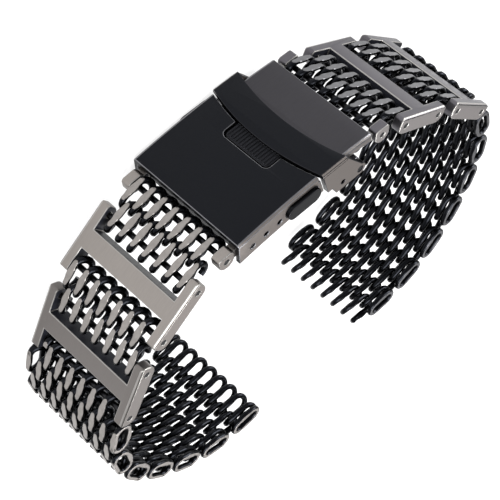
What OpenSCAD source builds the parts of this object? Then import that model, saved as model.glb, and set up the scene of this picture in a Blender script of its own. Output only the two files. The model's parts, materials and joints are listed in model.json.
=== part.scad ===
// Woven steel watch bracelet with a fold-over clasp, lying on its side: X runs along the clasp,
// Y points away from the wrist at the clasp and Z is the width of the bracelet.

/* [Bracelet] */
// Width across the links and the mesh
strap_w = 22; // [21.6:0.1:22.6]
// Rows of free mesh in the left half
left_rows = 14; // [8:1:14]
// Rows of free mesh in the right half
right_rows = 15; // [9:1:15]
// Distance between the hinges of two mesh rows
row_pitch = 3.75; // [3.7:0.05:3.9]
// Height of the wire centres above and below the middle of the mesh
coil_rise = 1.4; // [1.36:0.02:1.46]
// Diameter of the wire along its straight strokes
stroke_d = 1.1; // [1.04:0.02:1.14]
// Diameter of the wire in its bends
bend_d = 1; // [0.9:0.02:1.02]
// Distance by which the bends of two hooked rows pass each other
hook_depth = 2; // [1.9:0.02:2.02]
// Depth of the flat ground on the outer strokes
ground = 0.3; // [0.1:0.05:0.4]

/* [Links] */
// Distance between the two pins of a link
link_pins = 9.3; // [9:0.1:10]
// Distance from the clasp's spring bar to the first pin
end_link_l = 4.65; // [4.6:0.05:5]
// Thickness of a link's side arms
arm_w = 1.8; // [1.5:0.1:1.9]
// Half the height of a link and radius of its rounded inner corners
eye_r = 1.55; // [1.45:0.01:1.6]
// Radius of a link's outer corners
link_corner = 0.65; // [0.4:0.05:1]
// Length of the bar that joins the two arms
bar_l = 3.5; // [2.5:0.1:4]
// Chamfer on the outer edges of a link
link_chamfer = 0.3; // [0.1:0.05:0.5]
// Diameter of the link pins
pin_d = 1; // [0.8:0.05:1.1]
// Distance from a pin to the middle of the mesh row that hangs on it
pin_seat = 1.3; // [1.25:0.01:1.35]
// Distance between the middles of the two coils in a window
window_pitch = 4.15; // [3.9:0.05:4.2]

/* [Clasp] */
// Distance by which the cover stands out past the mesh on each side
cover_lip = 0.8; // [0.5:0.05:1]
// Length of the cover from its end to the crown of its arch
cover_l = 17.8; // [17:0.1:18]
// Radius of the arch of the clasp
arch_r = 138; // [120:1:200]
// Thickness of the cover's plate
plate_t = 1; // [0.8:0.05:1.1]
// Height of the cover's side walls
wall_h = 4.5; // [4.4:0.05:4.8]
// Thickness of the cover's side walls
wall_t = 0.9; // [0.6:0.05:1]
// Radius of the curved seams
seam_r = 40; // [30:1:60]
// Depth of the notch for the nail tab
notch_l = 3; // [2:0.1:3.4]
// Width of the notch for the nail tab
notch_w = 10; // [8:0.5:12]
// Distance between the adjusting holes
adjust_step = 2.85; // [2.5:0.05:3]
// Depth of the adjusting holes below the top of the cover
adjust_drop = 2.9; // [2.7:0.05:3.1]
// Diameter of the adjusting holes
adjust_d = 1; // [0.9:0.05:1.2]
// Length of a push button
button_l = 7; // [5:0.1:7.4]
// Height of a push button
button_h = 2.8; // [2:0.1:2.9]
// Height of a push button above its wall
button_rise = 0.7; // [0.4:0.05:1]
// Distance by which the flap's walls stand out past the cover's
flap_lip = 0.4; // [0.1:0.05:0.6]
// Thickness of the safety flap's plate
flap_t = 0.9; // [0.7:0.05:1]
// Ribs on the nail tab
tab_ribs = 15; // [5:1:17]
// Thickness of the folding blades
blade_t = 0.8; // [0.6:0.05:0.9]
// Width of the folding blades
blade_w = 13; // [10:0.5:13.2]
// Diameter of the clasp's hinge pins
hinge_d = 1; // [0.8:0.05:1.1]

/* [Hidden] */

// Running clearance round a pin and working clearance round a moving piece
pin_gap = 0.03;
gap = 0.15;
// Overlap that fuses two solids, and the reach of cuts that run out of the part
bite = 0.05;
beyond = 50;

cover_w = strap_w + 2 * cover_lip;
flap_w = cover_w + 2 * flap_lip;

// Width of the mesh: nine strokes, eight pitches apart, reach the edges
pitch = (strap_w - stroke_d) / 8;
edge_strokes = 9;
window_strokes = 7;
arm_inside = strap_w / 2 - arm_w;
// Size of a bend, which climbs half a pitch while it turns over the thickness
bend_tilt = atan2(pitch / 2, 2 * coil_rise);
bend_r = norm([coil_rise, pitch / 4]);
stroke_l = row_pitch - 2 * bend_r + hook_depth;
coil_half = stroke_l / 2 + bend_r + bend_d / 2;

// Directions of the clasp's end links, window coils and links, in degrees below the clasp,
// and those of the free rows, which turn steadily between the rows given here
left_chain = [4, 14, 22, 36, 47, 56, 61];
right_chain = [2, 25, 29, 29, 32, 38, 43];
left_curl = [[1, 62], [3, 84], [5, 110], [7, 128], [9, 138], [11, 152], [13, 178], [15, 192]];
right_curl = [[1, 70], [3, 90], [5, 106], [7, 118], [9, 130], [11, 148], [13, 168], [15, 187]];
function angles(chain, curl, rows) = concat(chain, [for (k = [1 : rows]) lookup(k, curl)]);
left_angles = angles(left_chain, left_curl, left_rows);
right_angles = angles(right_chain, right_curl, right_rows);
function rows_of(side) = side < 0 ? left_rows : right_rows;
function angle_of(side, i) = side < 0 ? left_angles[i] : right_angles[i];

// Lengths between the hinges, from the clasp outwards
hang = pin_seat + row_pitch / 2;
window_seat = hang - window_pitch / 2;
lengths = concat([end_link_l, hang, hang, link_pins, hang, hang, link_pins, hang],
    [for (k = [2 : max(left_rows, right_rows)]) row_pitch]);
LINK_1 = 3;
LINK_2 = 6;
FIRST_ROW = 7;

// Height of the cover's arched top at x
function arch_y(x) = sqrt(arch_r * arch_r - x * x) - arch_r;

// Adjusting holes, of which the first holds the left spring bar
adjust_count = 3;
adjust_edge = 2.8;
adjust_x = adjust_edge - cover_l;
function adjust_at(i) = let (x = adjust_x + i * adjust_step) [x, arch_y(x) - adjust_drop];

// Seams between the cover, the flap and the end cap, on the middle of the bracelet
seam_1 = -2.5;
seam_2 = 3;
flap_rise = 0.3;
cap_drop = 1.1;
cap_end = 11.6;
cap_w = strap_w;
skirt_h = 1.5;
skirt_t = 0.7;
// Clasp hinges: cover to blade 1, blade 1 to blade 2, flap to blade 2
cover_hinge = [-7, -3.4];
blade_hinge = [-16.2, -6.1];
flap_hinge = [8, -6];
knuckle_r = 0.95;
flap_pin_d = 1.2;
boss_r = 1.2;
// Right spring bar, under the end cap
cap_bar = [9.5, -3.9];
bar_body_d = 1.5;
bar_tip_d = adjust_d - 0.1;
tongue_r = 0.95;
tongue_w = cover_w - 2 * wall_t - 2 * gap;
lug_w = 0.8;
cap_tongue_w = cap_w - 2 * (skirt_t + lug_w + 2 * gap);

function start(side) = side < 0 ? adjust_at(0) : cap_bar;
function along(side, i, t) = t * [side * cos(angle_of(side, i)), -sin(angle_of(side, i))];
function hinge_at(side, i) =
    i <= 0 ? start(side) : hinge_at(side, i - 1) + along(side, i - 1, lengths[i - 1]);
function coil_t(i) =
    i < FIRST_ROW ? (i == LINK_1 - 1 || i == LINK_2 - 1 ? window_pitch / 2 : window_seat)
    : i == FIRST_ROW ? pin_seat : row_pitch / 2;
function coil_at(side, i) = hinge_at(side, i) + along(side, i, coil_t(i));

// Middle of the outline, which is the origin
function reach(side, i) = stroke_l / 2 * abs(cos(angle_of(side, i))) + bend_r + bend_d / 2;
function drop(side, i) = stroke_l / 2 * abs(sin(angle_of(side, i))) + bend_r + bend_d / 2;
function last(side) = FIRST_ROW + rows_of(side) - 1;
low_x = min([for (i = [FIRST_ROW : last(-1)]) coil_at(-1, i).x - reach(-1, i)]);
high_x = max([for (i = [FIRST_ROW : last(1)]) coil_at(1, i).x + reach(1, i)]);
low_y = min([for (s = [-1, 1]) for (i = [FIRST_ROW : last(s)]) coil_at(s, i).y - drop(s, i)]);
high_y = flap_rise;
middle = [(low_x + high_x) / 2, (low_y + high_y) / 2];
half_w = cover_w / 2 + button_rise;

module in_place() translate([-middle.x, -middle.y, half_w]) children();

module at(p) translate([p.x, p.y, 0]) children();

module on_chain(side, i, t) {
    in_place()
        at(hinge_at(side, i) + along(side, i, t))
            rotate([0, 0, -side * angle_of(side, i)])
                children();
}

module rod(d, l) cylinder(h = l, d = d, center = true, $fn = 48);

// Plate seen from outside the wrist: x and z of its outline, between two heights
module plan(y0, y1) translate([0, y1, 0]) rotate([90, 0, 0]) linear_extrude(y1 - y0) children();

// Two equal pieces on the two sides of the bracelet, each from the middle plane out
module both_sides(z, t) {
    for (m = [0, 1]) mirror([0, 0, m]) translate([0, 0, z]) linear_extrude(t) children();
}

// Mesh coils
module wire(l) translate([0, 0, -bite]) cylinder(h = l + 2 * bite, d = stroke_d, $fn = 32);

module stroke(y, z) translate([-stroke_l / 2, y, z]) rotate([0, 90, 0]) wire(stroke_l);

module bend(turn) {
    rotate([turn * bend_tilt, 0, 0])
        rotate([0, 0, -90])
            rotate_extrude(angle = 180, $fn = 32)
                translate([bend_r, 0]) circle(d = bend_d, $fn = 32);
}

module turn(z) translate([0, 0, z]) {
    stroke(coil_rise, 0);
    translate([stroke_l / 2, 0, pitch / 4]) bend(-1);
    stroke(-coil_rise, pitch / 2);
    translate([-stroke_l / 2, 0, pitch * 3 / 4]) mirror([1, 0, 0]) bend(1);
}

// A flat coil of n outer strokes; a turned one has n inner strokes instead
module coil(n, shift, turned) {
    face = coil_rise + stroke_d / 2 - ground;
    width = (n - 1) * pitch;
    difference() {
        translate([0, 0, shift]) rotate([turned ? 180 : 0, 0, 0]) {
            for (k = [0 : n - 2]) turn(k * pitch - width / 2);
            stroke(coil_rise, width / 2);
        }
        translate([-row_pitch, face, -strap_w]) cube([2 * row_pitch, stroke_d, 2 * strap_w]);
    }
}

module window_coil(side, i, shift) {
    color("#3b3c3f") on_chain(side, i, coil_t(i)) coil(window_strokes, shift * pitch / 4, false);
}

module row(side, k) {
    n = k == 1 ? window_strokes : k % 2 == 0 ? edge_strokes : edge_strokes - 1;
    i = FIRST_ROW + k - 1;
    color("#3b3c3f") on_chain(side, i, coil_t(i)) coil(n, 0, k == 1);
}

// Links: fully rounded where the mesh curls under them, with tighter corners outside
module link_outline(l) {
    corner_at = eye_r - link_corner;
    square([l, 2 * eye_r], center = true);
    translate([-l / 2 - eye_r, 0]) square([l + 2 * eye_r, corner_at]);
    translate([-l / 2 - corner_at, 0]) square([l + 2 * corner_at, eye_r]);
    for (m = [-1, 1]) {
        translate([m * l / 2, 0]) circle(r = eye_r, $fn = 48);
        translate([m * (l / 2 + corner_at), corner_at]) circle(r = link_corner, $fn = 48);
    }
}

module long_chamfers(w, l) {
    for (m = [-1, 1]) translate([0, eye_r, m * w / 2]) rotate([45, 0, 0])
        cube([l, link_chamfer * sqrt(2), link_chamfer * sqrt(2)], center = true);
}

module link(side, i) {
    window_l = link_pins / 2 + 2 * eye_r;
    color(side < 0 ? "#a09a95" : "#6b6a6c") on_chain(side, i, link_pins / 2) difference() {
        linear_extrude(strap_w, center = true) link_outline(link_pins);
        for (m = [0, 1]) mirror([m, 0, 0]) {
            translate([bar_l / 2, -2 * eye_r, -arm_inside]) cube([window_l, 4 * eye_r, 2 * arm_inside]);
            translate([link_pins / 2, 0, 0]) rod(pin_d + 2 * pin_gap, 2 * strap_w);
        }
        long_chamfers(strap_w, link_pins + 4 * eye_r);
    }
}

module link_pins_at(side, i) {
    color("#77787a") on_chain(side, i, link_pins / 2)
        for (m = [-1, 1]) translate([m * link_pins / 2, 0, 0]) rod(pin_d, strap_w - gap);
}

module end_pin(side) color("#77787a") on_chain(side, 0, end_link_l) rod(pin_d, strap_w - gap);

// Half link: two ears hold the pin, a shoulder lies behind the coil and a tongue reaches under the
// clasp to the spring bar
module end_link(side, shoulder, tongue) {
    coil_room = coil_half - window_seat + 2 * gap;
    color(side < 0 ? "#a09a95" : "#6b6a6c") on_chain(side, 0, end_link_l) mirror([side > 0 ? 1 : 0, 0, 0])
        difference() {
            union() {
                both_sides(arm_inside, arm_w) link_outline(0);
                both_sides(arm_inside, shoulder / 2 - arm_inside)
                    translate([0, -tongue_r]) square([coil_room + bite, 2 * tongue_r]);
                translate([coil_room, -tongue_r, -shoulder / 2])
                    cube([end_link_l - tongue_r - 2 * gap - coil_room, 2 * tongue_r, shoulder]);
                translate([coil_room, -tongue_r, -tongue / 2])
                    cube([end_link_l - coil_room, 2 * tongue_r, tongue]);
                translate([end_link_l, 0, 0]) cylinder(h = tongue, r = tongue_r, center = true, $fn = 48);
            }
            rod(pin_d + 2 * pin_gap, 2 * strap_w);
            translate([end_link_l, 0, 0]) rod(bar_body_d + 2 * pin_gap, 2 * strap_w);
        }
}

// Spring bar: a body inside the tongue and two thinner tips in the clasp
module spring_bar(p, body_w, tip_w) {
    color("#77787a") in_place() at(p) {
        rod(bar_body_d, body_w);
        rod(bar_tip_d, tip_w);
    }
}

// Sheet with two side walls, bent along the arch: the arch runs round Z
module arched(top, plate, walls, width, wall, edge) {
    r = arch_r + top;
    inner = width / 2 - wall;
    translate([0, -arch_r, 0]) rotate([0, 0, 80]) rotate_extrude(angle = 20, $fn = 720)
        polygon([[r - walls, -width / 2], [r - edge, -width / 2], [r, edge - width / 2],
            [r, width / 2 - edge], [r - edge, width / 2], [r - walls, width / 2],
            [r - walls, inner], [r - plate, inner], [r - plate, -inner], [r - walls, -inner]]);
}

// Everything to the right of a curved seam, down to a given depth
module right_of_seam(x, depth) translate([x + seam_r, -depth, 0])
    rotate([-90, 0, 0]) cylinder(h = depth + 2, r = seam_r, $fn = 360);

module pill(l, h) {
    square([l - h, h], center = true);
    for (m = [-1, 1]) translate([m * (l - h) / 2, 0]) circle(d = h, $fn = 48);
}

button_end = -1;
button_drop = 1.4;
button_at = [button_end - button_l / 2, -button_h / 2 - button_drop];
flange = 0.7;
flange_lip = 0.6;
edge = 0.35;
wall_end = -0.8;
wall_slant = 12.6;
notch_corner = 1;
flap_wall_w = flap_w / 2 - strap_w / 2 - 0.1;
tab_gap = 0.3;
tab_w = notch_w - 2 * tab_gap;
tab_corner = 0.9;

// Strip of length l and width w that starts at x, with two rounded corners
module notch(x, l, w, r) {
    translate([x, r - w / 2]) square([l, w - 2 * r]);
    translate([x + r, -w / 2]) square([l - r, w]);
    for (m = [-1, 1]) translate([x + r, m * (w / 2 - r)]) circle(r = r, $fn = 48);
}

// Cover of the clasp: arched plate, two walls with the adjusting holes and the button slots
module clasp_cover() {
    color("#232427") in_place() difference() {
        union() {
            arched(0, plate_t, wall_h, cover_w, wall_t, edge);
            both_sides(blade_w / 2 + gap, 1.2) {
                at(cover_hinge) circle(r = knuckle_r, $fn = 48);
                translate([cover_hinge.x - knuckle_r, cover_hinge.y])
                    square([2 * knuckle_r, -cover_hinge.y - plate_t / 2]);
            }
        }
        translate([-cover_l - beyond, -beyond, -beyond]) cube([beyond, 2 * beyond, 2 * beyond]);
        right_of_seam(seam_1 - gap, plate_t + 0.3);
        // Slanted ends of the walls
        translate([wall_end, 0, 0]) rotate([0, 0, wall_slant]) translate([0, -beyond, -beyond])
            cube([beyond, 2 * beyond, 2 * beyond]);
        // Notch with rounded corners
        plan(-2 * plate_t, plate_t)
            notch(seam_1 - notch_l, -seam_1 + notch_l + 1, notch_w, notch_corner);
        for (i = [0 : adjust_count - 1]) at(adjust_at(i)) rod(adjust_d, 2 * cover_w);
        at(cover_hinge) rod(hinge_d + 2 * pin_gap, blade_w + 8);
        both_sides(cover_w / 2 - wall_t - 1, wall_t + 2)
            translate(button_at) pill(button_l + 2 * pin_gap, button_h + 2 * pin_gap);
    }
}

module cover_pin() color("#77787a") in_place() at(cover_hinge) rod(hinge_d, blade_w + 2.4);

// Push button: a pill through the wall and a longer flange behind it
module push_button(m) {
    inside = cover_w / 2 - wall_t - gap;
    color("#17181a") in_place() mirror([0, 0, m]) at(button_at) {
        translate([0, 0, inside]) linear_extrude(cover_w / 2 + button_rise - inside)
            pill(button_l, button_h);
        translate([0, 0, inside - flange]) linear_extrude(flange + bite)
            pill(button_l + 2 * flange_lip, button_h - gap);
    }
}

// Blade 1: from the hinge in the cover, down and back to the hinge of blade 2
module blade_1() {
    top = blade_hinge.y + blade_t + 0.2;
    heel = [cover_hinge.x + knuckle_r - blade_t, top];
    color("#5a5b5e") in_place() difference() {
        union() {
            linear_extrude(blade_w, center = true) {
                // Foot, whose heel is bent round so that it clears the cover when it opens
                at(cover_hinge) circle(r = knuckle_r, $fn = 48);
                translate([cover_hinge.x - knuckle_r, top])
                    square([2 * knuckle_r, cover_hinge.y - top]);
                translate([cover_hinge.x - knuckle_r, top - blade_t])
                    square([2 * knuckle_r - blade_t, blade_t]);
                at(heel) circle(r = blade_t, $fn = 48);
                translate([blade_hinge.x + knuckle_r + gap, top - blade_t])
                    square([cover_hinge.x - blade_hinge.x - knuckle_r, blade_t]);
            }
            linear_extrude(blade_w / 2, center = true) {
                at(blade_hinge) circle(r = knuckle_r, $fn = 48);
                translate([blade_hinge.x, top - blade_t]) square([2, blade_t]);
            }
        }
        at(cover_hinge) rod(hinge_d + 2 * pin_gap, 2 * blade_w);
        at(blade_hinge) rod(hinge_d + 2 * pin_gap, 2 * blade_w);
    }
}

// Blade 2: back under blade 1 to the flap's hinge, with the end cap on top
module blade_2() {
    bottom = blade_hinge.y - blade_t - 0.2;
    knuckle_w = (blade_w - blade_w / 2 - 2 * gap) / 2;
    color("#4a494c") in_place() difference() {
        union() {
            // Blade and its two knuckles
            linear_extrude(blade_w, center = true)
                translate([blade_hinge.x + knuckle_r + gap, bottom])
                    square([flap_hinge.x - blade_hinge.x - knuckle_r - gap, blade_t]);
            both_sides(blade_w / 4 + gap, knuckle_w) {
                at(blade_hinge) circle(r = knuckle_r, $fn = 48);
                translate([blade_hinge.x, bottom]) square([2, blade_t]);
            }
            // Barrel for the flap's pin and the web up to the end cap
            at(flap_hinge) cylinder(h = strap_w - 2 * gap, r = boss_r, center = true, $fn = 48);
            translate([flap_hinge.x - boss_r, flap_hinge.y, -cap_tongue_w / 2])
                cube([boss_r + 0.2, -flap_hinge.y - cap_drop - plate_t / 2, cap_tongue_w]);
            // End cap
            intersection() {
                arched(-cap_drop, plate_t, skirt_h, cap_w, skirt_t, edge);
                right_of_seam(seam_2 + gap, 10);
                translate([-beyond, -beyond, -beyond])
                    cube([beyond + cap_end, 2 * beyond, 2 * beyond]);
            }
            // Lugs for the spring bar
            both_sides(cap_tongue_w / 2 + gap, lug_w) {
                at(cap_bar) circle(r = tongue_r, $fn = 48);
                translate([cap_bar.x - tongue_r, cap_bar.y])
                    square([2 * tongue_r, -cap_bar.y - cap_drop - plate_t]);
            }
        }
        at(blade_hinge) rod(hinge_d + 2 * pin_gap, 2 * blade_w);
        at(flap_hinge) rod(flap_pin_d + 2 * pin_gap, 2 * strap_w);
        at(cap_bar) rod(adjust_d, 2 * strap_w);
    }
}

module blade_pins() color("#77787a") in_place() {
    at(blade_hinge) rod(hinge_d, blade_w - gap);
    at(flap_hinge) rod(flap_pin_d, flap_w - 0.3);
}

// Safety flap: arched plate with a ribbed nail tab and two walls that reach down to its hinge
module safety_flap() {
    tab_y = -edge;
    rib_h = 0.2;
    rib = tab_w / (2 * tab_ribs + 1);
    color("#26272a") in_place() difference() {
        union() {
            difference() {
                intersection() {
                    arched(flap_rise, flap_t, flap_t, flap_w, flap_t, edge);
                    right_of_seam(seam_1 + gap, 5);
                }
                right_of_seam(seam_2, 5);
            }
            // The walls' faces lie a hair inside the plate's edges
            both_sides(flap_w / 2 - flap_wall_w, flap_wall_w - bite) difference() {
                union() {
                    polygon([[-0.3, -0.3], [5, -0.3], [flap_hinge.x + boss_r, flap_hinge.y],
                        [flap_hinge.x, flap_hinge.y - boss_r], [2.7, flap_hinge.y - boss_r],
                        [1.8, -5.3], [0.8, -5.3]]);
                    at(flap_hinge) circle(r = boss_r, $fn = 48);
                }
                translate([4.1, -5.6]) circle(d = 0.9, $fn = 32);
            }
            // Nail tab
            plan(tab_y - flap_t, tab_y)
                notch(seam_1 - notch_l + tab_gap, notch_l + 2 * tab_gap + tab_corner, tab_w, tab_corner);
            for (k = [0 : tab_ribs - 1])
                translate([seam_1 - notch_l + tab_gap + rib, tab_y - bite, (2 * k + 1) * rib - tab_w / 2])
                    cube([notch_l - tab_gap + gap, rib_h + bite, rib]);
        }
        at(flap_hinge) rod(flap_pin_d + 2 * pin_gap, 2 * flap_w);
    }
}

clasp_cover();
push_button(0);  // push_button_near
push_button(1);  // push_button_far
cover_pin();
blade_1();
blade_2();
blade_pins();
safety_flap();
spring_bar(adjust_at(0), tongue_w - gap, cover_w - 0.4);  // left_spring_bar
spring_bar(cap_bar, cap_tongue_w - gap, cap_tongue_w + 2 * lug_w);  // right_spring_bar
end_link(-1, tongue_w, tongue_w);  // left_end_link
end_link(1, cap_w - 2 * skirt_t - 2 * gap, cap_tongue_w);  // right_end_link
for (s = [[-1, "left_"], [1, "right_"]]) {
    end_pin(s[0]);
    link(s[0], LINK_1);
    link(s[0], LINK_2);
    link_pins_at(s[0], LINK_1);
    link_pins_at(s[0], LINK_2);
    window_coil(s[0], 1, -1);
    window_coil(s[0], 2, 1);
    window_coil(s[0], 4, -1);
    window_coil(s[0], 5, 1);
    for (k = [1 : rows_of(s[0])]) row(s[0], k);
}
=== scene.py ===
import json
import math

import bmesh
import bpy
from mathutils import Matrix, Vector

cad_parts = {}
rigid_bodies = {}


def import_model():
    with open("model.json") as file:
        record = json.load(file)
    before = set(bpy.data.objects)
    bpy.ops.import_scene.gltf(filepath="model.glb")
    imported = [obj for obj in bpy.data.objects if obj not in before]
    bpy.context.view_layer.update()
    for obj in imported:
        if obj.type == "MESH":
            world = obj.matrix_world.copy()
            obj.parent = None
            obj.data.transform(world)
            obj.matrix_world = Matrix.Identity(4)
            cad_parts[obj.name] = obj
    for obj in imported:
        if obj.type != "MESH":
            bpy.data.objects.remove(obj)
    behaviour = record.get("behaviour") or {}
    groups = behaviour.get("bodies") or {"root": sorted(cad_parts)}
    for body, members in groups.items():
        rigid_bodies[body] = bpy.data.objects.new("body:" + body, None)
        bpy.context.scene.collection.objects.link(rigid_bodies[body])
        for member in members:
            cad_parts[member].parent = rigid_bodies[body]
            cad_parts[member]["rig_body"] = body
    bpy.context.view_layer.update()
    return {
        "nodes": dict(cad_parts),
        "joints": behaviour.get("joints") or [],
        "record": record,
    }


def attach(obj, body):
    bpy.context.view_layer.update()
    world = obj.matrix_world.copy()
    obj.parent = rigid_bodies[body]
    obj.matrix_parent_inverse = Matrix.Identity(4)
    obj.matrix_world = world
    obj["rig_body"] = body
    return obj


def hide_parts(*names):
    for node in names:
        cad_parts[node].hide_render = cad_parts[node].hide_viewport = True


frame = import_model()

# %% [markdown]
# A watch bracelet of woven steel wire, in two halves, closed by a folding clasp.
# Each row of the mesh is one flat coil of thick wire that hooks into the next row, and two solid
# links in each half interrupt the mesh. All of it carries a black coating, and its outer side is
# ground flat; the flats' shine is painted into them as a paler colour, where the round wire stays dark.
# The imported CAD model gives every place and size, and this lesson dresses it in the same metres:
# first the camera and the light, then the finishes, the coils, the links and the clasp.

MM = 0.001
record = frame["record"]
joints = {joint["child"]: joint for joint in frame["joints"]}
mounts = {mount["name"]: mount for mount in record["mounts"]}
material_slots = {part["node"]: part["material_slot"] for part in record["subparts"]}

# %% [markdown]
# The camera comes first, because everything else is seen through it. It could be set by eye,
# but then a wrong length and a wrong angle look alike. So a point of the clasp and of each link was
# found in the photograph, and the camera's place and turn were fitted to them. It is a long lens,
# rolled on its side, because the bracelet lies on one edge in this frame and stands in the picture.

# %% Camera
camera_place = Vector((-100.04, 221.76, 121.4)) * MM
camera_right = Vector((0.7186, -0.0295, 0.6947))
camera_up = Vector((0.5913, 0.5516, -0.5883))
camera_data = bpy.data.cameras.new("camera")
camera_data.lens = 112.5
camera_data.sensor_width = 36
camera_data.clip_start = 0.01
camera = bpy.data.objects.new("camera", camera_data)
turn = Matrix((camera_right, camera_up, camera_right.cross(camera_up))).transposed()
camera.matrix_world = Matrix.Translation(camera_place) @ turn.to_4x4()
bpy.context.scene.collection.objects.link(camera)
bpy.context.scene.camera = camera
print("camera", [round(v / MM, 1) for v in camera_place], "mm")

# %% [markdown]
# Node trees are long to write by hand, so one helper adds a node, sets its properties and fills
# or links its inputs. A second helper turns the hex colour that a designer would write down into
# the linear values that the shaders work in.

# %% Two helpers
MATH = "ShaderNodeMath"
MIX = "ShaderNodeMix"


def add(tree, kind, inputs=None, **settings):
    node = tree.nodes.new(kind)
    for name, value in settings.items():
        setattr(node, name, value)
    for key, value in (inputs or {}).items():
        if isinstance(value, bpy.types.NodeSocket):
            tree.links.new(value, node.inputs[key])
        elif isinstance(value, bpy.types.Node):
            tree.links.new(value.outputs[0], node.inputs[key])
        else:
            node.inputs[key].default_value = value
    return node


def linear(hex_colour):
    values = [int(hex_colour[i:i + 2], 16) / 255 for i in (1, 3, 5)]
    curve = [v / 12.92 if v <= 0.04045 else ((v + 0.055) / 1.055) ** 2.4 for v in values]
    return (*curve, 1.0)


print("a mid grey is", round(linear("#808080")[0], 3))

# %% [markdown]
# The floor is a plain pale sheet of paper. A white world without a floor would be simpler, but the
# bracelet would float in it. To the camera, and in the metal's reflections, the paper glows a
# little, so that it reads as white, and the rest of its brightness comes from the lamps, so that it
# keeps a soft shadow.

# %% Floor
FLOOR_HALF = 3.0
GLOW = 0.8
floor_mesh = bpy.data.meshes.new("floor")
corners = [(x * FLOOR_HALF, y * FLOOR_HALF, 0) for x, y in ((-1, -1), (1, -1), (1, 1), (-1, 1))]
floor_mesh.from_pydata(corners, [], [(0, 1, 2, 3)])
floor = bpy.data.objects.new("floor", floor_mesh)
bpy.context.scene.collection.objects.link(floor)

# Matt paper, which to the camera and in reflections is a dimmer paper that glows
paper = bpy.data.materials.new("white_paper")
paper.use_nodes = True
tree = paper.node_tree
tree.nodes.clear()
ray = add(tree, "ShaderNodeLightPath").outputs
seen = add(tree, MATH, {0: ray["Is Camera Ray"], 1: ray["Is Glossy Ray"]},
           operation="ADD", use_clamp=True)
through = add(tree, MATH, {0: seen, 1: ray["Is Transmission Ray"]}, operation="ADD", use_clamp=True)
matt = add(tree, "ShaderNodeBsdfDiffuse", {"Color": linear("#e7e7e7")})
dim = add(tree, "ShaderNodeBsdfDiffuse", {"Color": linear("#959595")})
glow = add(tree, "ShaderNodeEmission", {"Color": linear("#ffffff"), "Strength": GLOW})
glowing = add(tree, "ShaderNodeAddShader", {0: dim, 1: glow})
both = add(tree, "ShaderNodeMixShader", {0: through, 1: matt, 2: glowing})
add(tree, "ShaderNodeOutputMaterial", {"Surface": both})
floor_mesh.materials.append(paper)
print("floor", FLOOR_HALF * 2, "m wide")

# %% [markdown]
# Polished and ground metal looks like what it mirrors, so the lamps are broad discs and not points.
# One large lamp stands over the clasp and one beside the right half. A small one lights the side
# that lies on the wrist, where the rows would otherwise melt into one black. A pale grey world
# fills the rest, as a photographer's white tent would.

# %% Lamps and world
LAMP_DISTANCE = 0.5
BRACELET_MIDDLE = Vector((0, 0, 0.012))
SKY = (0.62, 0.62, 0.63, 1)


def lamp(name, direction, size, power):
    data = bpy.data.lights.new(name, "AREA")
    data.shape = "DISK"
    data.size = size
    data.energy = power
    towards = Vector(direction)
    place = towards.normalized() * LAMP_DISTANCE + BRACELET_MIDDLE
    facing = towards.to_track_quat("Z", "Y").to_matrix().to_4x4()
    lamp_object = bpy.data.objects.new(name, data)
    lamp_object.matrix_world = Matrix.Translation(place) @ facing
    bpy.context.scene.collection.objects.link(lamp_object)


lamp("key_lamp", (-0.55, 0.35, 0.75), 0.45, 5.0)
lamp("right_lamp", (0.85, 0.35, 0.4), 0.3, 3.0)
lamp("wrist_lamp", (0.1, -0.6, 0.8), 0.15, 1.2)

world = bpy.data.worlds.new("studio")
bpy.context.scene.world = world
world.use_nodes = True
background = world.node_tree.nodes["Background"].inputs
background["Color"].default_value = SKY
background["Strength"].default_value = 1.0
bpy.context.scene.view_settings.view_transform = "Standard"
print(len(bpy.data.lights), "lamps,", LAMP_DISTANCE, "m away")

# %% [markdown]
# All the metal here is stainless steel under a hard black coating, put on in a vacuum. The
# coating is thin, so it keeps the surface that lies beneath: blasted on the cover, brushed on the
# links, ground on the wire's flats and drawn smooth on its round sides.
# A picture of brushed metal could be wrapped round each piece, but it would show seams. A noise
# needs none, and it is stretched to the length of the grinding marks in millimetres. Real marks
# are finer than this picture can show, so these are drawn as coarse as they need to be.
# One finish may change over a piece. The strap's two sides were ground apart from its face and are
# painted paler, a painted reflection, so a helper finds them: faces that look up or down and lie far
# enough from the strap's middle.

# %% Tones, and the strap's two sides
STRAP_MIDDLE = 12.5
SIDES_FROM = 10.5
SIDE_TILT = (0.5, 0.68)


def shade(colour, factor):
    """The same hue, lighter or darker."""
    return (*[factor * c for c in colour[:3]], 1.0)


def strap_sides(tree, place):
    """A mask that is 1 on the strap's two sides and 0 elsewhere."""
    normal = add(tree, "ShaderNodeSeparateXYZ", {0: place["Normal"]}).outputs
    upward = add(tree, MATH, {0: normal["Z"]}, operation="ABSOLUTE")
    facing = add(tree, "ShaderNodeMapRange", {"Value": upward, "From Min": SIDE_TILT[0],
                                              "From Max": SIDE_TILT[1]})
    where = add(tree, "ShaderNodeSeparateXYZ", {0: place["Object"]}).outputs
    above = add(tree, MATH, {0: where["Z"], 1: STRAP_MIDDLE * MM}, operation="SUBTRACT")
    off_middle = add(tree, MATH, {0: above}, operation="ABSOLUTE")
    far_out = add(tree, MATH, {0: off_middle, 1: SIDES_FROM * MM}, operation="GREATER_THAN")
    return add(tree, MATH, {0: facing, 1: far_out}, operation="MULTIPLY")


print("the sides start", SIDES_FROM, "mm from the middle")
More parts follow.
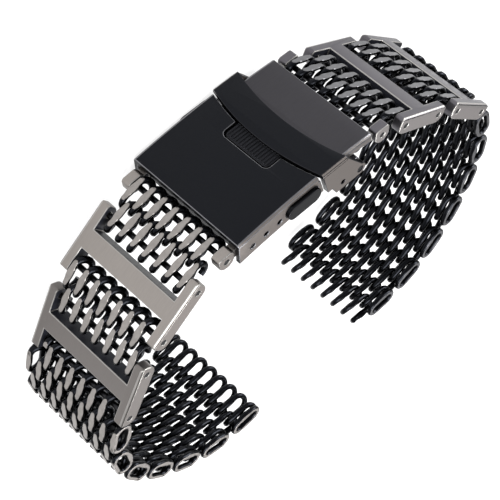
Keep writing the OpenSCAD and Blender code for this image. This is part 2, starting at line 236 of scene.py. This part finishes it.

# %% [markdown]
# The finish itself is one principled shader of a metal. The marks vary its tone and roughness and
# raise fine lines. Three things can be laid over it: the satin sides, painted paler as a painted
# reflection; painted shade on the walls inside the windows between the links, made dark and not
# metallic; and the flats of the ground wire, painted pale as a painted reflection. Separate materials
# on each face would do as well, but a mask lets a round wire go from black to painted bright within one
# face.

# %% Coated steel
TONE_SPREAD = 0.14
WEAR_SPREAD = 0.25
ROUGH_SPREAD = 0.06
SATIN = 0.55
FLATS_ROUGHER = 0.12
WEAR_GRAIN = 0.9
LINE_HEIGHT = 0.02
FLAT_RIM = 0.04


def coated_steel(name, colour, roughness, lines, side_sheen_colour=None, window_shade_colour=None,
                 flat_sheen_colour=None):
    """lines gives the length, in mm, of the grinding marks along x, y and z."""
    material = bpy.data.materials.new(name)
    material.use_nodes = True
    tree = material.node_tree
    tree.nodes.clear()
    place = add(tree, "ShaderNodeTexCoord").outputs
    stretched = add(tree, "ShaderNodeMapping", {"Vector": place["Object"],
                                                "Scale": [1 / (length * MM) for length in lines]})
    marks = add(tree, "ShaderNodeTexNoise", {"Vector": stretched, "Scale": 1.0, "Detail": 3.0,
                                             "Roughness": 0.6})
    tone = linear(colour)
    shown = add(tree, MIX, {0: marks, 6: shade(tone, 1 - TONE_SPREAD),
                            7: shade(tone, 1 + TONE_SPREAD)}, data_type="RGBA").outputs[2]
    rough = add(tree, "ShaderNodeMapRange", {"Value": marks, "From Min": 0.3, "From Max": 0.7,
                                             "To Min": roughness - ROUGH_SPREAD,
                                             "To Max": roughness + ROUGH_SPREAD})
    raised = marks
    metallic = 1.0
    if side_sheen_colour:
        # The two sides are satin, without lines, and painted paler: a painted reflection
        side = strap_sides(tree, place)
        shown = add(tree, MIX, {0: side, 6: shown, 7: linear(side_sheen_colour)},
                    data_type="RGBA").outputs[2]
        rough = add(tree, MIX, {0: side, 2: rough, 3: SATIN}, data_type="FLOAT")
        raised = add(tree, MIX, {0: side, 2: marks, 3: 0.5}, data_type="FLOAT")
    if window_shade_colour:
        # The faces that look into the windows carry painted shade: dark and not metallic
        walls = add(tree, "ShaderNodeAttribute", attribute_name="window_shade_mask").outputs["Fac"]
        shown = add(tree, MIX, {0: walls, 6: shown, 7: linear(window_shade_colour)},
                    data_type="RGBA").outputs[2]
        metallic = add(tree, MATH, {0: 1.0, 1: walls}, operation="SUBTRACT")
    if flat_sheen_colour:
        # The coil's tree writes how far the wheel reached past the face, in wire radii; there the flats
        # get a pale colour, a painted reflection, varied at random
        reach = add(tree, "ShaderNodeAttribute", attribute_name="ground").outputs["Fac"]
        flat = add(tree, "ShaderNodeMapRange", {"Value": reach, "From Min": -FLAT_RIM,
                                                "From Max": FLAT_RIM})
        wear = add(tree, "ShaderNodeTexNoise", {"Vector": place["Object"], "Detail": 2.0,
                                                "Scale": 1 / (WEAR_GRAIN * MM)})
        pale = linear(flat_sheen_colour)
        sheen_and_wear = add(tree, MIX, {0: wear, 6: shade(pale, 1 - WEAR_SPREAD),
                               7: shade(pale, 1 + WEAR_SPREAD)}, data_type="RGBA").outputs[2]
        shown = add(tree, MIX, {0: flat, 6: shown, 7: sheen_and_wear}, data_type="RGBA").outputs[2]
        rough = add(tree, MIX, {0: flat, 2: rough, 3: roughness + FLATS_ROUGHER},
                    data_type="FLOAT")
    bump = add(tree, "ShaderNodeBump", {"Height": raised, "Strength": 0.25,
                                        "Distance": LINE_HEIGHT * MM})
    metal = add(tree, "ShaderNodeBsdfPrincipled", {"Base Color": shown, "Metallic": metallic,
                                                   "Roughness": rough, "Specular IOR Level": 0.15,
                                                   "Normal": bump})
    add(tree, "ShaderNodeOutputMaterial", {"Surface": metal})
    return material


# Turned pins: dark and smooth, with faint streaks along them
pin_finish = coated_steel("turned_steel_pins", "#29292b", 0.3, (0.2, 0.2, 2.0))
print("first finish:", pin_finish.name)

# %% [markdown]
# Each finish is named for how its surface was made, or for the light painted into it. The edges,
# rounded as tumbling in a drum leaves them, have finishes of their own, whose paler colour is a
# painted highlight. The left links look lighter than the right ones, and the lower of them a little
# darker again: painted light and painted shade on one black coating, so these differ mostly in colour.

# %% The finishes
# Painted shade for the walls inside the windows between the links
WINDOW_SHADE_BLACK = "#1d1e24"
# Blasted cover: even, fine-grained and deep black, with its side walls ground satin and painted
# lighter, a painted reflection
cover_finish = coated_steel("black_coated_blasted_steel", "#1b1c1f", 0.42, (0.3, 0.3, 0.3),
                            side_sheen_colour="#625d5a")
# Brushed end cap: a soft streak along the strap, and sides painted lighter, a painted reflection
cap_finish = coated_steel("black_coated_brushed_cap", "#3a393c", 0.40, (2.5, 0.2, 0.2),
                          side_sheen_colour="#6b6765")
# Brushed links: their grey is a painted reflection on the black coating, lightest on the left ones
links_left_painted_light = coated_steel("grey_coated_brushed_links", "#837e7a", 0.38, (2.0, 2.0, 0.12),
                           side_sheen_colour="#6f6a67", window_shade_colour=WINDOW_SHADE_BLACK)
# The lower left link: a darker grey, painted shade
link_low_painted_shade = coated_steel("brushed_coating_low_link_painted_shade", "#686462", 0.40, (2.0, 2.0, 0.12),
                               side_sheen_colour="#6a6664", window_shade_colour=WINDOW_SHADE_BLACK)
# The right links: darker than the left ones, painted shade
links_right_painted_shade = coated_steel("dark_coated_brushed_links", "#58565a", 0.38, (2.0, 2.0, 0.12),
                            side_sheen_colour="#7d7978", window_shade_colour=WINDOW_SHADE_BLACK)
# Drawn wire: black and glossy on its round sides; the flats ground on its outer side are painted pale,
# a painted reflection
wire_flats_left_painted_light = coated_steel("drawn_wire_left_painted_light", "#1a1b1e", 0.28, (1.5, 1.5, 0.1),
                         flat_sheen_colour="#85817e")
# The right half's flats are painted darker than the left's: painted shade
wire_flats_right_painted_shade = coated_steel("drawn_wire_right_painted_shade", "#1a1b1e", 0.28, (1.5, 1.5, 0.1),
                          flat_sheen_colour="#68686a")
# Spring steel of the blades: rolled and brushed lengthwise, so it gleams in one direction
blade_finish = coated_steel("coated_spring_steel_blades", "#3a3a3c", 0.35, (2.5, 2.5, 0.15))
# Tumbled edges: painted highlights, thin bright lines on the links, dimmer on the clasp, almost black
# on the flap
link_round_highlight = coated_steel("painted_highlight_on_link_rounds", "#989693", 0.4, (3.0, 3.0, 3.0))
clasp_round_highlight = coated_steel("painted_highlight_on_clasp_rounds", "#6e6e71", 0.36, (3.0, 3.0, 3.0))
flap_round_highlight = coated_steel("painted_highlight_on_flap_rounds", "#303033", 0.3, (3.0, 3.0, 3.0))
# Polished buttons: the smoothest pieces, with sharp highlights
button_finish = coated_steel("black_polished_button", "#1b1c1e", 0.16, (0.3, 0.3, 0.3))
finishes = {"clasp_black": cover_finish, "end_cap_grey": cap_finish,
            "blade_steel": blade_finish, "button_black": button_finish}
print(len(bpy.data.materials), "materials")

# %% [markdown]
# The coils are the heart of the mesh. A coil is one wire: a straight stroke on the outer side, a
# bend over the edge, a stroke on the wrist's side half a pitch further on, a bend back, and so on
# across the strap. One coil could be modelled by hand and copied down the strap, but the rows
# differ in their ends and in their number of strokes. They all follow the same rule, so one
# Geometry Nodes tree makes them all. It numbers the points of a line, works out each point's place
# on the coil from its number, sweeps a round profile along it, presses the outer side flat as a
# grinding wheel would, and puts the coil into its row.

# %% Sizes of a coil, in millimetres
STRAP_WIDTH = 22.0
WIRE = 1.1
WIRE_RADIUS = 0.52
WIDE_STROKES = 9
NARROW_STROKES = 8
WINDOW_STROKES = 7
PITCH = (STRAP_WIDTH - WIRE) / (WIDE_STROKES - 1)
ROW_PITCH = 3.75
HOOK = 2.0
RISE = 1.4
BEND = math.hypot(RISE, PITCH / 4)
STROKE = ROW_PITCH - 2 * BEND + HOOK
BOW = 0.1
# What the wheel took off the face and off the two edges
OFF_FACE = 0.3
OFF_SIDES = 0.12
FACE = RISE + WIRE / 2 - OFF_FACE
SIDE_FACE = STRAP_WIDTH / 2 - OFF_SIDES
# How much thicker the wire is than in its bends: in mid-stroke, round a pin, and inside a window
SWELL = 0.22
INNER_SWELL = 0.3
# From a hinge to the middle of the coil that turns on it
PIN_SEAT = 1.3
WINDOW_SEAT = 1.1
WINDOW_PITCH = 4.15
# Points along each section of the wire's path, and sides of its round profile
SECTION_POINTS = 8
WIRE_SIDES = 14
print("pitch", round(PITCH, 4), "stroke", round(STROKE, 3), "mm")

# %% Inputs of the coil's tree
coil_tree = bpy.data.node_groups.new("hooked_wire_coil", "GeometryNodeTree")
coil_tree.interface.new_socket("Geometry", in_out="OUTPUT", socket_type="NodeSocketGeometry")
coil_sockets = {}
for name, kind, value in (
        ("Strokes", "Int", WIDE_STROKES),
        ("Points a section", "Int", SECTION_POINTS),
        ("Start sections", "Float", 1.0),
        ("End sections", "Float", 1.0),
        ("Start climb", "Float", 0.0),
        ("End climb", "Float", 0.0),
        ("Pitch", "Float", PITCH * MM),
        ("Half stroke", "Float", STROKE / 2 * MM),
        ("Bend radius", "Float", BEND * MM),
        ("Rise", "Float", RISE * MM),
        ("Bow", "Float", BOW * MM),
        ("Wire radius", "Float", WIRE_RADIUS * MM),
        ("Swell", "Float", SWELL),
        ("Inner swell", "Float", 0.0),
        ("Left swell", "Float", 0.0),
        ("Right swell", "Float", 0.0),
        ("Face", "Float", FACE * MM),
        ("Side face", "Float", SIDE_FACE * MM),
        ("Shift", "Float", 0.0),
        ("Facing", "Float", 1.0),
        ("Place", "Vector", (0, 0, 0)),
        ("Turn", "Float", 0.0),
        ("Finish", "Material", None)):
    socket = coil_tree.interface.new_socket(name, in_out="INPUT", socket_type=f"NodeSocket{kind}")
    if value is not None:
        socket.default_value = value
    coil_sockets[name] = socket.identifier
given = add(coil_tree, "NodeGroupInput").outputs
print(len(coil_sockets), "inputs")

# %% [markdown]
# The first nodes find out where a point stands on the coil. A turn has four sections: outer
# stroke, bend, inner stroke, bend. The wire may start some sections before its first outer stroke
# and end some after its last, so one tree makes open and closed ends. Each of the four numbers at
# the end of the cell runs from 0 to 1 while the point passes its section.

# %% Where a point stands on the coil
turns = add(coil_tree, MATH, {0: given["Strokes"], 1: 1.0}, operation="SUBTRACT")
middle_sections = add(coil_tree, MATH, {0: turns, 1: 4.0, 2: 1.0}, operation="MULTIPLY_ADD")
both_ends = add(coil_tree, MATH, {0: given["Start sections"], 1: given["End sections"]},
                operation="ADD")
sections = add(coil_tree, MATH, {0: middle_sections, 1: both_ends}, operation="ADD")
count = add(coil_tree, MATH, {0: sections, 1: given["Points a section"], 2: 1.0},
            operation="MULTIPLY_ADD")
line = add(coil_tree, "GeometryNodeMeshLine", {"Count": count})
number = add(coil_tree, "GeometryNodeInputIndex")
travelled = add(coil_tree, MATH, {0: number, 1: given["Points a section"]}, operation="DIVIDE")
passed = add(coil_tree, MATH, {0: travelled, 1: given["Start sections"]}, operation="SUBTRACT")
within = add(coil_tree, MATH, {0: passed, 1: 4.0}, operation="FLOORED_MODULO")
whole = add(coil_tree, MATH, {0: passed, 1: within}, operation="SUBTRACT")
turn_number = add(coil_tree, MATH, {0: whole, 1: 0.25}, operation="MULTIPLY")
outer = add(coil_tree, MATH, {0: within, 1: 0.0}, operation="ADD", use_clamp=True)
bend_1 = add(coil_tree, MATH, {0: within, 1: 1.0}, operation="SUBTRACT", use_clamp=True)
inner = add(coil_tree, MATH, {0: within, 1: 2.0}, operation="SUBTRACT", use_clamp=True)
bend_2 = add(coil_tree, MATH, {0: within, 1: 3.0}, operation="SUBTRACT", use_clamp=True)
print(len(coil_tree.nodes), "nodes number the points")

# %% Its place along the row, and over or under it
forth = add(coil_tree, MATH, {0: outer, 1: inner}, operation="SUBTRACT")
along = add(coil_tree, MATH, {0: forth, 1: 2.0, 2: -1.0}, operation="MULTIPLY_ADD")
bends = add(coil_tree, MATH, {0: bend_1, 1: bend_2}, operation="ADD")
angle = add(coil_tree, MATH, {0: bends, 1: math.pi}, operation="MULTIPLY")
cosine = add(coil_tree, MATH, {0: angle}, operation="COSINE")
sine = add(coil_tree, MATH, {0: angle}, operation="SINE")
straight = add(coil_tree, MATH, {0: along, 1: given["Half stroke"]}, operation="MULTIPLY")
x = add(coil_tree, MATH, {0: sine, 1: given["Bend radius"], 2: straight}, operation="MULTIPLY_ADD")
# A stroke bows out a little and is thickest in its middle, and the power keeps its ends slim
squared = add(coil_tree, MATH, {0: along, 1: along}, operation="MULTIPLY")
falling = add(coil_tree, MATH, {0: 1.0, 1: squared}, operation="SUBTRACT")
bulge = add(coil_tree, MATH, {0: falling, 1: 1.5}, operation="POWER")
height = add(coil_tree, MATH, {0: bulge, 1: given["Bow"], 2: given["Rise"]},
             operation="MULTIPLY_ADD")
y = add(coil_tree, MATH, {0: cosine, 1: height}, operation="MULTIPLY")
print("x and y follow the strokes and the bends")

# %% How thick the wire is there
is_inner = add(coil_tree, MATH, {0: cosine, 1: 0.0}, operation="LESS_THAN")
stroke_swell = add(coil_tree, MATH, {0: is_inner, 1: given["Inner swell"], 2: given["Swell"]},
                   operation="MULTIPLY_ADD")
thick_stroke = add(coil_tree, MATH, {0: bulge, 1: stroke_swell, 2: 1.0}, operation="MULTIPLY_ADD")
# Round a pin, where nothing else hooks in, a window coil's bends are as thick as its strokes
on_right = add(coil_tree, MATH, {0: sine, 1: 0.0}, operation="MAXIMUM")
on_left = add(coil_tree, MATH, {0: sine, 1: -1.0}, operation="MULTIPLY", use_clamp=True)
thick_right = add(coil_tree, MATH, {0: on_right, 1: given["Right swell"], 2: thick_stroke},
                  operation="MULTIPLY_ADD")
thickness = add(coil_tree, MATH, {0: on_left, 1: given["Left swell"], 2: thick_right},
                operation="MULTIPLY_ADD")
print("up to", round(WIRE_RADIUS * 2 * (1 + SWELL + INNER_SWELL), 2), "mm thick")

# %% Its place across the strap
# Only the bends climb, by half a pitch each, and past the wire's ends no further than allowed
climb_1 = add(coil_tree, "ShaderNodeMapRange", {0: bend_1, 3: 0.0, 4: 0.5},
              interpolation_type="SMOOTHSTEP")
climb_2 = add(coil_tree, "ShaderNodeMapRange", {0: bend_2, 3: 0.0, 4: 0.5},
              interpolation_type="SMOOTHSTEP")
climbs = add(coil_tree, MATH, {0: climb_1, 1: climb_2}, operation="ADD")
climb = add(coil_tree, MATH, {0: turn_number, 1: climbs}, operation="ADD")
lowest = add(coil_tree, MATH, {0: given["Start climb"], 1: -1.0}, operation="MULTIPLY")
highest = add(coil_tree, MATH, {0: turns, 1: given["End climb"]}, operation="ADD")
held = add(coil_tree, "ShaderNodeClamp", {0: climb, 1: lowest, 2: highest})
centred = add(coil_tree, MATH, {0: turns, 1: -0.5, 2: held}, operation="MULTIPLY_ADD")
z = add(coil_tree, MATH, {0: centred, 1: given["Pitch"]}, operation="MULTIPLY")
print("z climbs", round(PITCH / 2, 3), "mm in each bend")

# %% Centre line and wire
faced_y = add(coil_tree, MATH, {0: y, 1: given["Facing"]}, operation="MULTIPLY")
faced_z = add(coil_tree, MATH, {0: z, 1: given["Facing"], 2: given["Shift"]},
              operation="MULTIPLY_ADD")
point = add(coil_tree, "ShaderNodeCombineXYZ", {0: x, 1: faced_y, 2: faced_z})
placed = add(coil_tree, "GeometryNodeSetPosition", {"Geometry": line, "Position": point})
curve = add(coil_tree, "GeometryNodeMeshToCurve", {0: placed})
upright = add(coil_tree, "GeometryNodeSetCurveNormal", {0: curve}, mode="Z_UP")
ring = add(coil_tree, "GeometryNodeCurvePrimitiveCircle", {"Resolution": WIRE_SIDES,
                                                           "Radius": given["Wire radius"]})
wire = add(coil_tree, "GeometryNodeCurveToMesh", {"Curve": upright, "Profile Curve": ring,
                                                  "Scale": thickness, "Fill Caps": True})
print("a wire of", WIRE_SIDES, "sides")

# %% [markdown]
# Last, the face is ground. A Boolean with a box would cut the flats as well, but it is slow on so
# many coils and leaves ragged faces. Here each point that lies past the face is pressed back onto
# it, which keeps the tidy rings of the wire. The tree also writes down how far the wheel reached,
# so that the finish knows which faces to paint pale, a painted reflection.

# %% Grinding
here = add(coil_tree, "ShaderNodeSeparateXYZ", {0: add(coil_tree, "GeometryNodeInputPosition")}).outputs
over_face = add(coil_tree, MATH, {0: here[1], 1: given["Face"]}, operation="SUBTRACT")
outward = add(coil_tree, MATH, {0: here[2]}, operation="ABSOLUTE")
over_side = add(coil_tree, MATH, {0: outward, 1: given["Side face"]}, operation="SUBTRACT")
over_either = add(coil_tree, MATH, {0: over_face, 1: over_side}, operation="MAXIMUM")
depth = add(coil_tree, MATH, {0: over_either, 1: given["Wire radius"]}, operation="DIVIDE")
marked = add(coil_tree, "GeometryNodeStoreNamedAttribute", {"Geometry": wire, "Name": "ground",
                                                            "Value": depth},
             data_type="FLOAT", domain="POINT")
pressed_y = add(coil_tree, MATH, {0: here[1], 1: given["Face"]}, operation="MINIMUM")
other_side = add(coil_tree, MATH, {0: given["Side face"], 1: -1.0}, operation="MULTIPLY")
pressed_z = add(coil_tree, "ShaderNodeClamp", {0: here[2], 1: other_side, 2: given["Side face"]})
pressed = add(coil_tree, "ShaderNodeCombineXYZ", {0: here[0], 1: pressed_y, 2: pressed_z})
ground = add(coil_tree, "GeometryNodeSetPosition", {"Geometry": marked, "Position": pressed})
was_ground = add(coil_tree, "GeometryNodeInputNamedAttribute", {0: "ground"}, data_type="FLOAT")
is_round = add(coil_tree, "FunctionNodeCompare", {0: was_ground, 1: 0.0},
               data_type="FLOAT", operation="LESS_EQUAL")
smooth = add(coil_tree, "GeometryNodeSetShadeSmooth", {"Geometry": ground,
                                                       "Shade Smooth": is_round})
print("the face lies", round(FACE, 2), "mm over the strap's middle")

# %% Its seat in the row
turned = add(coil_tree, "ShaderNodeCombineXYZ", {2: given["Turn"]})
seated = add(coil_tree, "GeometryNodeTransform", {"Geometry": smooth, "Rotation": turned,
                                                  "Translation": given["Place"]})
real = add(coil_tree, "GeometryNodeRealizeInstances", {0: seated})
coated = add(coil_tree, "GeometryNodeSetMaterial", {"Geometry": real, "Material": given["Finish"]})
add(coil_tree, "NodeGroupOutput", {0: coated})
print(len(coil_tree.nodes), "nodes in the coil's tree")

# %% [markdown]
# The tree could stay on its object as a live modifier, but every row is to be a piece of its own
# that moves with its own body, and an export needs plain meshes. So the tree is evaluated once for
# each coil, with the inputs of that coil, and the result replaces the modifier.

# %% Bake a tree into a plain mesh
def baked(name, tree, sockets, values):
    holder = bpy.data.objects.new(name, bpy.data.meshes.new(name))
    bpy.context.scene.collection.objects.link(holder)
    modifier = holder.modifiers.new(tree.name, "NODES")
    modifier.node_group = tree
    for key, given_value in values.items():
        modifier[sockets[key]] = given_value
    graph = bpy.context.evaluated_depsgraph_get()
    graph.update()
    mesh = bpy.data.meshes.new_from_object(holder.evaluated_get(graph),
                                           preserve_all_data_layers=True, depsgraph=graph)
    holder.modifiers.remove(modifier)
    holder.data = mesh
    mesh.name = name
    return holder


print("ready to bake", coil_tree.name)

# %% [markdown]
# The kinds of coil differ only in their number of strokes and in their ends. A wide row ends in
# closed rings that lie flat in the edge, a narrow row in half a bend inside those rings. The first
# row hangs on a link's pin and is turned over. In a window, one end of a coil closes in its own
# plane, and the other one climbs on like the rest. Each kind could have a tree of its own, but then
# a change of the wire would have to be made six times, so a table gives each kind its inputs.

# %% Kinds of coil
KINDS = {
    "wide": {"Strokes": WIDE_STROKES, "Start sections": 3.0, "End sections": 3.0},
    "narrow": {"Strokes": NARROW_STROKES, "Start sections": 0.5, "Start climb": 0.5,
               "End sections": 0.5, "End climb": 0.5},
    "first_left": {"Strokes": WINDOW_STROKES, "Start sections": 0.5, "Start climb": 0.5,
                   "End sections": 1.0, "Facing": -1.0, "Right swell": SWELL},
    "first_right": {"Strokes": WINDOW_STROKES, "Start sections": 1.0, "End sections": 0.5,
                    "End climb": 0.5, "Facing": -1.0, "Left swell": SWELL},
    "near_clasp": {"Strokes": WINDOW_STROKES, "Start sections": 1.0, "End sections": 1.0,
                   "End climb": 0.5, "Inner swell": INNER_SWELL, "Shift": -PITCH / 4 * MM},
    "far_from_clasp": {"Strokes": WINDOW_STROKES, "Start sections": 1.0, "Start climb": 0.5,
                       "End sections": 1.0, "Inner swell": INNER_SWELL, "Shift": PITCH / 4 * MM},
}
# The end of a window coil whose bends go round a pin
PIN_SIDE = {"left_near_clasp": "Right", "left_far_from_clasp": "Left",
            "right_near_clasp": "Left", "right_far_from_clasp": "Right"}


def kind_and_seat(side, family, number):
    """The kind of a coil, and how far its middle lies from its hinge."""
    if family == "coil":
        return ("near_clasp", WINDOW_SEAT) if number % 2 else ("far_from_clasp", WINDOW_PITCH / 2)
    if number == 1:
        return f"first_{side}", PIN_SEAT
    return ("narrow" if number % 2 else "wide"), ROW_PITCH / 2


print(len(KINDS), "kinds, the first row is", kind_and_seat("left", "row", 1))

# %% [markdown]
# Each coil hangs between two hinges of the frame. Its place could be copied from the CAD mesh, but
# the joints already give those hinges. So a coil's place and direction come from its own joint and
# the next one, and the last coil looks towards the place where the watch is fitted.

# %% All coils
FIRST_BODIES = ["end_link", "coil_1", "coil_2", "link_1", "coil_3", "coil_4", "link_2"]
wires = []
for side, sign, finish in (("left", -1, wire_flats_left_painted_light), ("right", 1, wire_flats_right_painted_shade)):
    row_count = sum(1 for body in joints if body.startswith(f"{side}_row_"))
    chain = FIRST_BODIES + [f"row_{k}" for k in range(1, row_count + 1)]
    hinges = [Vector(joints[f"{side}_{name}"]["pos_m"]) for name in chain]
    hinges.append(Vector(mounts[f"watch_end_{side}"]["pos_m"]))
    for name, hinge, next_hinge in zip(chain, hinges, hinges[1:]):
        if "link" in name:
            continue
        family, number = name.rsplit("_", 1)
        kind, seat = kind_and_seat(side, family, int(number))
        body = f"{side}_{name}"
        direction = (next_hinge - hinge).normalized()
        values = {**KINDS[kind], "Place": hinge + direction * seat * MM, "Finish": finish,
                  "Turn": math.atan2(sign * direction.y, sign * direction.x)}
        if f"{side}_{kind}" in PIN_SIDE:
            values[PIN_SIDE[f"{side}_{kind}"] + " swell"] = SWELL
        coil = baked(f"{body}_wire", coil_tree, coil_sockets, values)
        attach(coil, body)
        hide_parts(body)
        wires.append(coil)
print(len(wires), "coils,", sum(len(coil.data.polygons) for coil in wires), "faces")

# %% [markdown]
# The links and the clasp are milled and stamped parts, and their CAD solids already have the
# right shape. What a solid lacks is the small round that tumbling leaves on every edge, and that
# round is what catches the light. A shader can feign it, but then it is missing from the exported
# mesh. So each solid is copied, its loose triangles are merged, and a Bevel modifier breaks the
# edges, whose faces get a paler finish, a painted highlight. The links also get a mark on the walls
# that look into a window, where painted shade goes: those of the bar, which face along the strap,
# and the insides of the arms, which face its middle.

# %% Broken edges
WINDOW_HALF = 9.5
SQUARE_ON = 0.8
MERGED_WITHIN = 0.002
FLAT_WITHIN = math.radians(0.5)
EDGE_FROM = math.radians(35)
SMOOTH_UP_TO = math.radians(20)


def merged(mesh):
    """Joins a CAD mesh's loose triangles into its flat faces."""
    work = bmesh.new()
    work.from_mesh(mesh)
    bmesh.ops.remove_doubles(work, verts=work.verts, dist=MERGED_WITHIN * MM)
    bmesh.ops.dissolve_limit(work, angle_limit=FLAT_WITHIN, verts=work.verts, edges=work.edges)
    work.to_mesh(mesh)
    work.free()


def mark_window_walls(mesh, along):
    # The mark says where painted shade goes: the walls that look into a window
    marks = mesh.attributes.new("window_shade_mask", "FLOAT", "FACE")
    for face, mark in zip(mesh.polygons, marks.data):
        off_middle = face.center.z - STRAP_MIDDLE * MM
        faces_along = abs(face.normal.dot(along)) > SQUARE_ON
        bar_wall = faces_along and abs(off_middle) < WINDOW_HALF * MM
        arm_wall = face.normal.z * off_middle < -SQUARE_ON * abs(off_middle)
        mark.value = float(bar_wall or arm_wall)


def tumbled(node, width, finish, round_highlight_finish, along=None):
    mesh = frame["nodes"][node].data.copy()
    merged(mesh)
    mesh.materials.clear()
    mesh.materials.append(finish)
    # The bevel's faces take the second finish, a painted highlight
    mesh.materials.append(round_highlight_finish)
    mesh.shade_smooth()
    piece = bpy.data.objects.new(f"{node}_tumbled", mesh)
    bpy.context.scene.collection.objects.link(piece)
    edges = piece.modifiers.new("broken_edges", "BEVEL")
    edges.width = width * MM
    edges.segments = 2
    edges.limit_method = "ANGLE"
    edges.angle_limit = EDGE_FROM
    edges.material = 1
    edges.use_clamp_overlap = False
    graph = bpy.context.evaluated_depsgraph_get()
    graph.update()
    shaped = bpy.data.meshes.new_from_object(piece.evaluated_get(graph), depsgraph=graph)
    shaped.set_sharp_from_angle(angle=SMOOTH_UP_TO)
    if along:
        mark_window_walls(shaped, along)
    piece.modifiers.remove(edges)
    piece.data = shaped
    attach(piece, frame["nodes"][node]["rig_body"])
    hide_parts(node)


print("edges are broken from", round(math.degrees(EDGE_FROM)), "degrees on")

# %% [markdown]
# The links take the broadest rounds, because they are milled from thick steel. The flap and the
# buttons are black on their edges too, and their rounds are narrow, because the ribs of the nail
# tab are small.

# %% Links and clasp
LINK_EDGE = 0.14
CLASP_EDGE = 0.12
FLAP_EDGE = 0.07
for side, finish in (("left", links_left_painted_light), ("right", links_right_painted_shade)):
    for name, after in (("end_link", "coil_1"), ("link_1", "coil_3"), ("link_2", "row_1")):
        first, second = (Vector(joints[f"{side}_{body}"]["pos_m"]) for body in (name, after))
        # The lower left link takes the darker finish, painted shade
        metal = link_low_painted_shade if (side, name) == ("left", "link_2") else finish
        tumbled(f"{side}_{name}", LINK_EDGE, metal, link_round_highlight, (second - first).normalized())
for name in ("clasp_cover", "blade_2", "blade_1"):
    tumbled(name, CLASP_EDGE, finishes[material_slots[name]], clasp_round_highlight)
for name in ("safety_flap", "push_button_near", "push_button_far"):
    tumbled(name, FLAP_EDGE, finishes[material_slots[name]], flap_round_highlight)

# %% [markdown]
# The flap and its nail tab lie in a step of the cover, and the step's floor keeps light out of the
# thin seam round them. The CAD cover is cut right through there. A flat plate would be quicker,
# but it would stand off the arched cover at its ends, so the floor is a thin sheet that follows
# the same arc just under the cover's plate.

# %% Floor of the step under the flap
ARCH_RADIUS = 138.0
PLATE = 1.0
STEP_GAP = 0.06
STEP_LEFT, STEP_RIGHT, STEP_HALF_WIDTH = -5.3, 1.2, 9.6
STEP_SHEET = 0.25
STEP_COLUMNS = 14
HINGE_TO_CROWN = Vector((7.0, 3.4, 0.0))
crown = Vector(joints["blade_1"]["pos_m"]) + HINGE_TO_CROWN * MM
outline = ((0, -STEP_HALF_WIDTH), (0, STEP_HALF_WIDTH),
           (STEP_SHEET, STEP_HALF_WIDTH), (STEP_SHEET, -STEP_HALF_WIDTH))
step = bmesh.new()
columns = []
for k in range(STEP_COLUMNS):
    x = STEP_LEFT + (STEP_RIGHT - STEP_LEFT) * k / (STEP_COLUMNS - 1)
    top = math.sqrt(ARCH_RADIUS ** 2 - x * x) - ARCH_RADIUS - PLATE - STEP_GAP
    columns.append([step.verts.new(crown + Vector((x, top - down, across)) * MM)
                    for down, across in outline])
for left, right in zip(columns, columns[1:]):
    for a, b in ((0, 1), (1, 2), (2, 3), (3, 0)):
        step.faces.new((left[a], left[b], right[b], right[a]))
step.faces.new(columns[0][::-1])
step.faces.new(columns[-1])
bmesh.ops.recalc_face_normals(step, faces=step.faces)
step_mesh = bpy.data.meshes.new("step_floor")
step.to_mesh(step_mesh)
step.free()
step_mesh.materials.append(cover_finish)
step_floor = bpy.data.objects.new("step_floor", step_mesh)
bpy.context.scene.collection.objects.link(step_floor)
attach(step_floor, "clasp")
print("step floor", round(STEP_RIGHT - STEP_LEFT, 1), "mm long")

# %% [markdown]
# The pins are turned rods, plain and mostly hidden. They could be made again with broken edges,
# but only their ends show, so they stay as the CAD drew them and only get their finish.

# %% Pins
pins = [frame["nodes"][node] for node, slot in material_slots.items() if slot == "steel_pins"]
for pin in pins:
    pin.data.materials.clear()
    pin.data.materials.append(pin_finish)
print(len(pins), "pins and bars")
